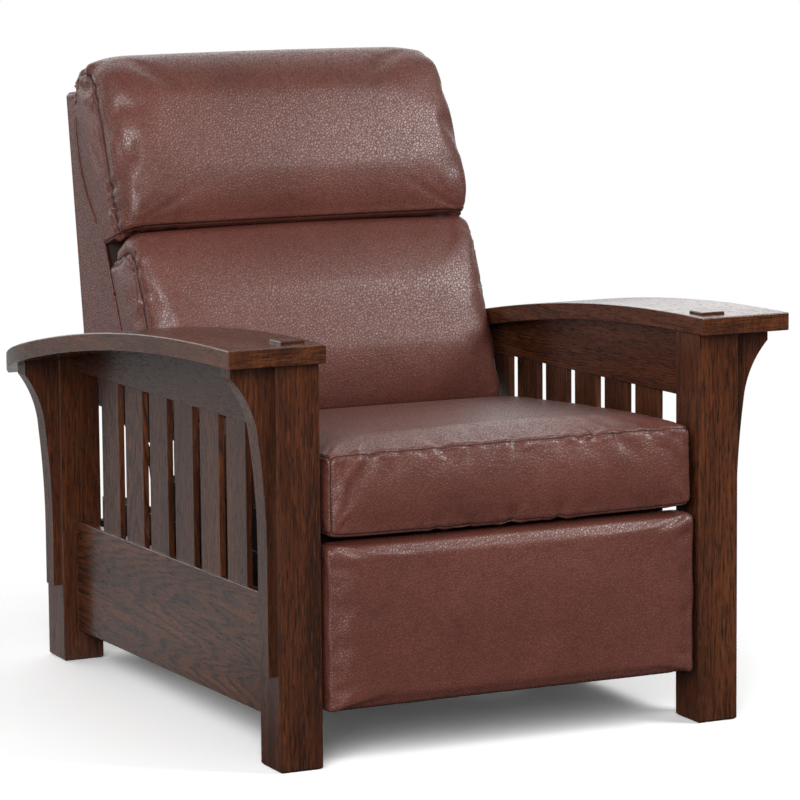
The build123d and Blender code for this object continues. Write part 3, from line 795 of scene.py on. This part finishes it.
    def dress(self, body, replaced, material):
        """Gives the pad its leather and its place in the chair, and hides the pieces that it
        replaces.
        """
        self.object.data.materials.append(material)
        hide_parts(*replaced)
        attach(self.object, body)
        return self.object


sides_of_band = [(side, panel) for side in ("left", "right")
                 for panel in ("front", "rear", "foot", "top")]
stitch_rows = {}


def sew(body, rows):
    """Keeps rows of points for the stitches of a body."""
    stitch_rows.setdefault(body, []).extend(rows)


def make_seat_cushion():
    """A box cushion with a deep crown and a seam all round its top and bottom."""
    seams = [(side, rim) for rim in ("top", "foot") for side in ("left", "right", "front", "rear")]
    seams += [("left", "front"), ("right", "front")]
    radii = {("front", "top"): 0.009, ("front", "foot"): 0.010, ("rear", "top"): 0.03,
             ("left", "top"): 0.009, ("right", "top"): 0.009, ("left", "foot"): 0.009,
             ("right", "foot"): 0.009, ("left", "front"): 0.010, ("right", "front"): 0.014}
    pad = Pad("leather_seat_cushion", seat_corners, seat_half_width, seams, radii)
    pad.swell(seat_swell, dome=0.35, bulb=(2, 4), side=2)
    pad.inflate([("foot", 1.0), ("rear", 1.0)], pressure=3.0, cap=0.012, shrink=0.012)
    pad.smooth()
    pad.furrow()
    pad.pucker(4, 24, [((0, 0, 1), (1, 0, 1), (0, 1, 0.3)), ((0, 0, 1), (1, 0, 1), (0, 0, -1)),
                       ((0, 0, 1), (1, 0, 1), (0.3, 1, 0)), ((0, 0, 0), (1, 0, 0), (0, 0, 1))],
               0.0026, 0.032, 0.0058)
    sew("seat", [pad.row("front", "top"), pad.row("front", "foot"), pad.row("top", "left"),
                 pad.row("top", "right"), pad.row("front", "left"), pad.row("front", "right")])
    return pad.dress("seat", ["seat_cushion"], leather("leather_seat", 1))


def make_lower_back():
    """The lumbar cushion of the back, whose front leather runs over its top."""
    radii = {("front", "top"): 0.028, ("front", "foot"): 0.03, ("rear", "top"): 0.02}
    for side in ("left", "right"):
        radii.update({(side, "front"): 0.006, (side, "top"): 0.006})
    corners = [back_point(*point) for point in lower_back_corners]
    pad = Pad("leather_lower_back", corners, lower_back_half_width, sides_of_band, radii)
    pad.swell(lower_back_swell, dome=0.12, bulb=(2, 13), side=2)
    pad.inflate([("rear", 1.0), ("foot", 1.0), ("top", 0.3)], pressure=2.6, cap=0.010, shrink=0.012)
    pad.smooth()
    pad.furrow()
    pad.pucker(7, 26, [((0, 0, 0.2), (0, 0, 1), (1, 0, 0)), ((1, 0, 0.2), (1, 0, 1), (-1, 0, 0)),
                       ((0, 0, 1), (0, 1, 1), (1, 0, 0)), ((1, 0, 1), (1, 1, 1), (-1, 0, 0))],
               0.0024, 0.030)
    sew("back", [pad.row("front", side) for side in ("left", "right")])
    return pad.dress("back", ["lower_back_cushion"], leather("leather_lower", 2))


def make_pillow():
    """The head pillow, whose front leather runs over its top and is sewn along its foot."""
    seams = sides_of_band + [("front", "foot")]
    radii = {("front", "top"): 0.042, ("front", "foot"): 0.008, ("rear", "top"): 0.022}
    for side in ("left", "right"):
        radii.update({(side, "front"): 0.006, (side, "top"): 0.006, (side, "foot"): 0.004})
    corners = [back_point(*point) for point in pillow_corners]
    pad = Pad("leather_head_pillow", corners, pillow_half_width, seams, radii)
    pad.swell(pillow_swell, dome=0.1, bulb=(3, 21), side=3)
    pad.inflate([("rear", 1.0), ("foot", 1.0), ("top", 0.2)], pressure=2.6, cap=0.008, shrink=0.012)
    pad.smooth()
    pad.furrow()
    pad.pucker(11, 40, [((0, 0, 0), (0, 0, 1), (1, 0, 0)), ((1, 0, 0), (1, 0, 1), (-1, 0, 0)),
                        ((1, 0, 0), (1, 0, 0.4), (-1, 0, 0)), ((0, 0, 1), (0, 1, 1), (1, 0, 0)),
                        ((1, 0, 1), (1, 1, 1), (-1, 0, 0)), ((0, 0, 0), (0, 0, 0.3), (1, 0, 0)),
                        ((0, 0, 0), (1, 0, 0), (0, 0, 1))], 0.0028, 0.034)
    sew("back", [pad.row(panel, side) for side in ("left", "right") for panel in ("front", "top")])
    return pad.dress("back", ["head_pillow"], leather("leather_pillow", 3))


def make_footrest_pad():
    """The padded front panel that becomes the footrest."""
    seams = [("left", "front"), ("right", "front")]
    radii = {("front", "top"): 0.011, ("front", "foot"): 0.006}
    for side in ("left", "right"):
        radii.update({(side, "front"): 0.008, (side, "top"): 0.012, (side, "foot"): 0.007})
    pad = Pad("leather_footrest", footrest_corners, footrest_half_width, seams, radii)
    pad.swell(footrest_swell, dome=0.4)
    pad.inflate([("rear", 1.0)], pressure=1.2, cap=0.004, shrink=0.01)
    pad.smooth()
    pad.furrow(0.0008, 0.0004)
    sew("footrest", [pad.row("front", side) for side in ("left", "right")])
    return pad.dress("footrest", ["footrest_pad"], leather("leather_footrest", 4))


def make_outer_back():
    """The leather case of the back: a padded hollow shell, open to the cushions."""
    seams = [("rear", side) for side in ("left", "right", "top", "foot")]
    seams += [("top", "left"), ("top", "right")]
    radii = {("rear", "top"): 0.007, ("rear", "foot"): 0.007, ("front", "top"): 0.006,
             ("front", "foot"): 0.006}
    for side in ("left", "right"):
        radii.update({(side, "rear"): 0.006, (side, "top"): 0.006, (side, "foot"): 0.006})
    pad = Pad("leather_outer_back", case_corners, case_half_width, seams, radii, 0.005, 0.009,
              ["front"])
    pad.swell(case_swell, dome=0.4)
    pad.smooth()
    pad.furrow(0.0010, 0.0006)
    sew("back", [pad.row("rear", side) for side in ("left", "right", "top", "foot")])
    pad.thicken(case_thickness)
    return pad.dress("back", ["outer_back"], leather("leather_case", 5))


def place_on_back(side, reach, up, out):
    """A point of the back's side, `reach` metres from the middle of the chair."""
    return chair_point(side * reach, *back_point(up, out))


def reach_of(surfaces, side, up, out):
    """How far from the middle the covered pieces reach at a place on the back's side."""
    start = place_on_back(side, 0.5, up, out)
    hits = [tree.ray_cast(start, Vector((-side, 0, 0)))[0] for tree in surfaces]
    return max([abs(hit.x) for hit in hits if hit] + [0.0])


def link_mesh(name, vertices, faces, material):
    """A new smooth mesh object whose seam map says that no seam is near."""
    mesh = bpy.data.meshes.new(name)
    mesh.from_pydata([tuple(v) for v in vertices], [], faces)
    layer = mesh.uv_layers.new(name="seam")
    for loop in layer.data:
        loop.uv = (1.0, 1.0)
    smooth_faces(mesh)
    mesh.materials.append(material)
    return stand(name, mesh)


def make_side_panel(name, side, surfaces, edge, material):
    """The rear part of the pillow's side panel: it runs back over the case to a bowed edge."""
    rows, columns = panel_rows, panel_columns
    heights = np.linspace(edge[0][0], edge[-1][0], rows)
    rear = np.interp(heights, *zip(*edge))
    vertices = []
    for up, end in zip(heights, rear):
        front_reach = reach_of(surfaces, side, up, panel_front)
        rear_reach = reach_of(surfaces, side, up, end - edge_inset) + panel_lift
        for column in range(columns):
            share = column / (columns - 1)
            out = panel_front + (end - panel_front) * share
            smooth = share * share * (3 - 2 * share)
            reach = front_reach + (rear_reach - front_reach) * smooth
            below = reach_of(surfaces, side, up, out)
            reach = max(reach, below + panel_clearance * min(1, 4 * share))
            vertices.append(place_on_back(side, reach - panel_dip * (column == 0), up, out))
    outer = np.array([tuple(v) for v in vertices]).reshape(rows, columns, 3)
    for _ in range(2):
        beside = outer[:-2, 1:-1, 0] + outer[2:, 1:-1, 0]
        outer[1:-1, 1:-1, 0] = (beside + 2 * outer[1:-1, 1:-1, 0]) / 4
    inner = outer.copy()
    inner[..., 0] -= side * panel_thickness
    both = np.concatenate([outer.reshape(-1, 3), inner.reshape(-1, 3)])
    count = rows * columns
    faces = []
    for i in range(rows - 1):
        for j in range(columns - 1):
            a, b = i * columns + j, (i + 1) * columns + j
            faces.append((a, b, b + 1, a + 1))
            faces.append((a + count, a + 1 + count, b + 1 + count, b + count))
    rim = list(range(columns)) + [i * columns + columns - 1 for i in range(1, rows)]
    rim += [(rows - 1) * columns + j for j in range(columns - 2, -1, -1)]
    rim += [i * columns for i in range(rows - 2, 0, -1)]
    for a, b in zip(rim, rim[1:] + rim[:1]):
        faces.append((a, b, b + count, a + count))
    panel = link_mesh(name, both, faces, material)
    face_outward(panel.data)
    return panel


def make_cord(name, points, material):
    """A round leather-covered cord through the points, with closed ends."""
    curve = bpy.data.curves.new(name, "CURVE")
    curve.dimensions = "3D"
    curve.bevel_depth = cord_radius
    curve.bevel_resolution = 3
    curve.use_fill_caps = True
    curve.resolution_u = 6
    line = curve.splines.new("NURBS")
    line.points.add(len(points) - 1)
    for knot, point in zip(line.points, points):
        knot.co = (*point, 1)
    line.order_u = 3
    line.use_endpoint_u = True
    shaped = stand(name + "_line", curve)
    tube = finished_mesh(shaped)
    vertices = [tuple(v.co) for v in tube.vertices]
    faces = [tuple(polygon.vertices) for polygon in tube.polygons]
    bpy.data.objects.remove(shaped)
    bpy.data.meshes.remove(tube)
    cord = link_mesh(name, vertices, faces, material)
    face_outward(cord.data, merged=0.00001)
    return cord


def trim_back(covered):
    """The corded side panels of the pillow and the cords behind the lower cushion's sides."""
    surfaces = []
    for piece in covered:
        corners = [v.co for v in piece.data.vertices]
        faces = [tuple(p.vertices) for p in piece.data.polygons]
        surfaces.append(BVHTree.FromPolygons(corners, faces))
    material = leather("leather_trim", 6)
    for word, side in (("left", -1), ("right", 1)):
        panel = make_side_panel(f"pillow_side_{word}", side, surfaces, pillow_cord, material)
        edges = {"pillow": (pillow_cord, pillow_cord_lift, 0.0014),
                 "lower": (lower_cord, lower_cord_lift, 0.0)}
        cords = []
        for cushion, (edge, lift, forward) in edges.items():
            points = [place_on_back(side, reach_of(surfaces, side, up, out - edge_inset) + lift,
                                    up, out - forward) for up, out in edge]
            cords.append(make_cord(f"{cushion}_cord_{word}", points, material))
        for piece in [panel] + cords:
            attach(piece, "back")


# Stitches

def stitch_tree(material):
    """Geometry nodes that lay a stitch at each pitch along the rows they are given. With the tree
    comes what to set on a modifier: the identifier and value of each size."""
    tree = bpy.data.node_groups.new("stitch_rows", "GeometryNodeTree")
    sockets = tree.interface
    sockets.new_socket("Rows", in_out="INPUT", socket_type="NodeSocketGeometry")
    sizes = {}
    for name, value in (("Stitch pitch", stitch_pitch), ("Stitch length", stitch_length),
                        ("Thread radius", thread_radius)):
        socket = sockets.new_socket(name, in_out="INPUT", socket_type="NodeSocketFloat")
        socket.default_value = value
        sizes[socket.identifier] = value
    sockets.new_socket("Stitches", in_out="OUTPUT", socket_type="NodeSocketGeometry")

    graph = Graph(tree)
    rows, pitch, length, radius = [
        graph.node("NodeGroupInput", {}, {}, name)
        for name in ("Rows", "Stitch pitch", "Stitch length", "Thread radius")]
    lines = graph.node("GeometryNodeMeshToCurve", {}, {0: rows})
    places = graph.node("GeometryNodeResampleCurve", {"mode": "LENGTH"},
                        {"Curve": lines, "Length": pitch})
    bead = graph.node("GeometryNodeMeshUVSphere", {}, {"Segments": 6, "Rings": 5, "Radius": 1.0},
                      "Mesh")
    size = graph.join(radius, radius, length * 0.5)
    along = graph.node("GeometryNodeInputTangent", {}, {})
    turn = graph.node("FunctionNodeAlignRotationToVector", {"axis": "Z"}, {"Vector": along})
    slack = graph.node("FunctionNodeRandomValue", {"data_type": "FLOAT_VECTOR"},
                       {0: (-stitch_slack, -stitch_slack, 0), 1: (stitch_slack, stitch_slack, 0),
                        "Seed": 5})
    tilt = graph.node("FunctionNodeEulerToRotation", {}, {0: slack})
    turned = graph.node("FunctionNodeRotateRotation", {"rotation_space": "LOCAL"},
                        {0: turn, 1: tilt})
    laid = graph.node("GeometryNodeInstanceOnPoints", {},
                      {"Points": places, "Instance": bead, "Rotation": turned, "Scale": size})
    real = graph.node("GeometryNodeRealizeInstances", {}, {0: laid})
    dressed = graph.node("GeometryNodeSetMaterial", {}, {"Geometry": real, "Material": material})
    graph.node("NodeGroupOutput", {}, {0: dressed})
    return tree, sizes


def make_stitches(rows_of_body):
    """One piece of stitches for each body, from rows of points."""
    material = speckled("stitch_thread", thread_brown, 2400.0, 2.0, 0.55, 0.0001, 0.5)
    tree, sizes = stitch_tree(material)
    for body, rows in rows_of_body.items():
        points, edges = [], []
        for row in rows:
            first = len(points)
            points += [tuple(point) for point in row]
            edges += [(n, n + 1) for n in range(first, len(points) - 1)]
        guide = bpy.data.meshes.new(f"stitches_{body}")
        guide.from_pydata(points, edges, [])
        piece = stand(f"stitches_{body}", guide)
        modifier = piece.modifiers.new("stitches", "NODES")
        modifier.node_group = tree
        for identifier, value in sizes.items():
            modifier[identifier] = value
        sewn = finished_mesh(piece)
        piece.modifiers.clear()
        piece.data = sewn
        bpy.data.meshes.remove(guide)
        sewn.name = piece.name
        smooth_faces(sewn)
        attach(piece, body)


# Studio

def make_camera():
    """The camera of the photograph."""
    data = bpy.data.cameras.new("camera")
    data.lens = camera_lens
    data.sensor_width = camera_sensor
    data.clip_end = 100
    camera = stand("camera", data)
    camera.location = camera_place
    camera.rotation_euler = (math.pi / 2 + camera_pitch, 0, -camera_yaw)
    bpy.context.scene.camera = camera


def make_light(name, place, target, size, power):
    """A soft box that faces a point."""
    data = bpy.data.lights.new(name, "AREA")
    data.shape = "RECTANGLE"
    data.size, data.size_y = size
    data.energy = power
    light = stand(name, data)
    light.location = place
    light.rotation_euler = (Vector(target) - Vector(place)).to_track_quat("-Z", "Y").to_euler()


def make_floor():
    """A white floor that shows the chair's soft shadow and fades into the white surroundings.
    Reflections see it bright behind the chair and dim in front of it, as in the studio."""
    mesh = bpy.data.meshes.new("floor")
    far = floor_reach
    mesh.from_pydata([(-far, -far, 0), (far, -far, 0), (far, far, 0), (-far, far, 0)], [],
                     [(0, 1, 2, 3)])
    graph = Finish("floor_white")
    seen = graph.node("ShaderNodeLightPath", {}, {}, "Is Camera Ray")
    mirrored = graph.node("ShaderNodeLightPath", {}, {}, "Is Glossy Ray")
    x, y = graph.split(graph.position())[:2]
    behind = y.step_up(-0.6, 0.5, *floor_mirrored)
    shade = seen * floor_seen + mirrored * behind + (1.0 - seen) * (1.0 - mirrored) * floor_bounce
    graph.surface(Base_Color=graph.join(shade, shade, shade), Roughness=1.0,
                  Specular_IOR_Level=0.0)
    away = graph.maths("SQRT", x * x + y * y)
    clear = graph.node("ShaderNodeBsdfTransparent", {}, {})
    faded = graph.node("ShaderNodeMixShader", {},
                       {0: away.step_up(*floor_fade) * seen,
                        1: Value(graph, graph.shader.outputs[0]), 2: clear})
    graph.feed(graph.tree.nodes["Material Output"].inputs[0], faded)
    mesh.materials.append(graph.material)
    stand("floor", mesh)


def make_world():
    """White surroundings, bright behind the chair and dim in front, pure white to the camera."""
    world = bpy.data.worlds.new("studio")
    world.use_nodes = True
    graph = Graph(world.node_tree)
    seen = graph.node("ShaderNodeLightPath", {}, {}, "Is Camera Ray")
    rearward = graph.split(graph.node("ShaderNodeTexCoord", {}, {}, "Generated"))[1]
    low, high = world_turn
    bright = graph.node("ShaderNodeMapRange", {},
                        {0: rearward, 1: low, 2: high, 3: world_front, 4: world_back})
    strength = graph.node("ShaderNodeMix", {}, {0: seen, 2: bright, 3: 1.0})
    background = graph.tree.nodes["Background"]
    graph.feed(background.inputs["Strength"], strength)
    graph.feed(background.inputs["Color"], (1, 1, 1, 1))
    bpy.context.scene.world = world


make_camera()
bpy.context.scene.view_settings.view_transform = "Standard"
make_world()
make_floor()
for name, lamp in lamps.items():
    make_light(name, *lamp)
finish_wood()
finish_hidden()
make_seat_cushion()
lower_back = make_lower_back()
pillow = make_pillow()
make_footrest_pad()
case = make_outer_back()
trim_back([lower_back, pillow, case])
make_stitches(stitch_rows)
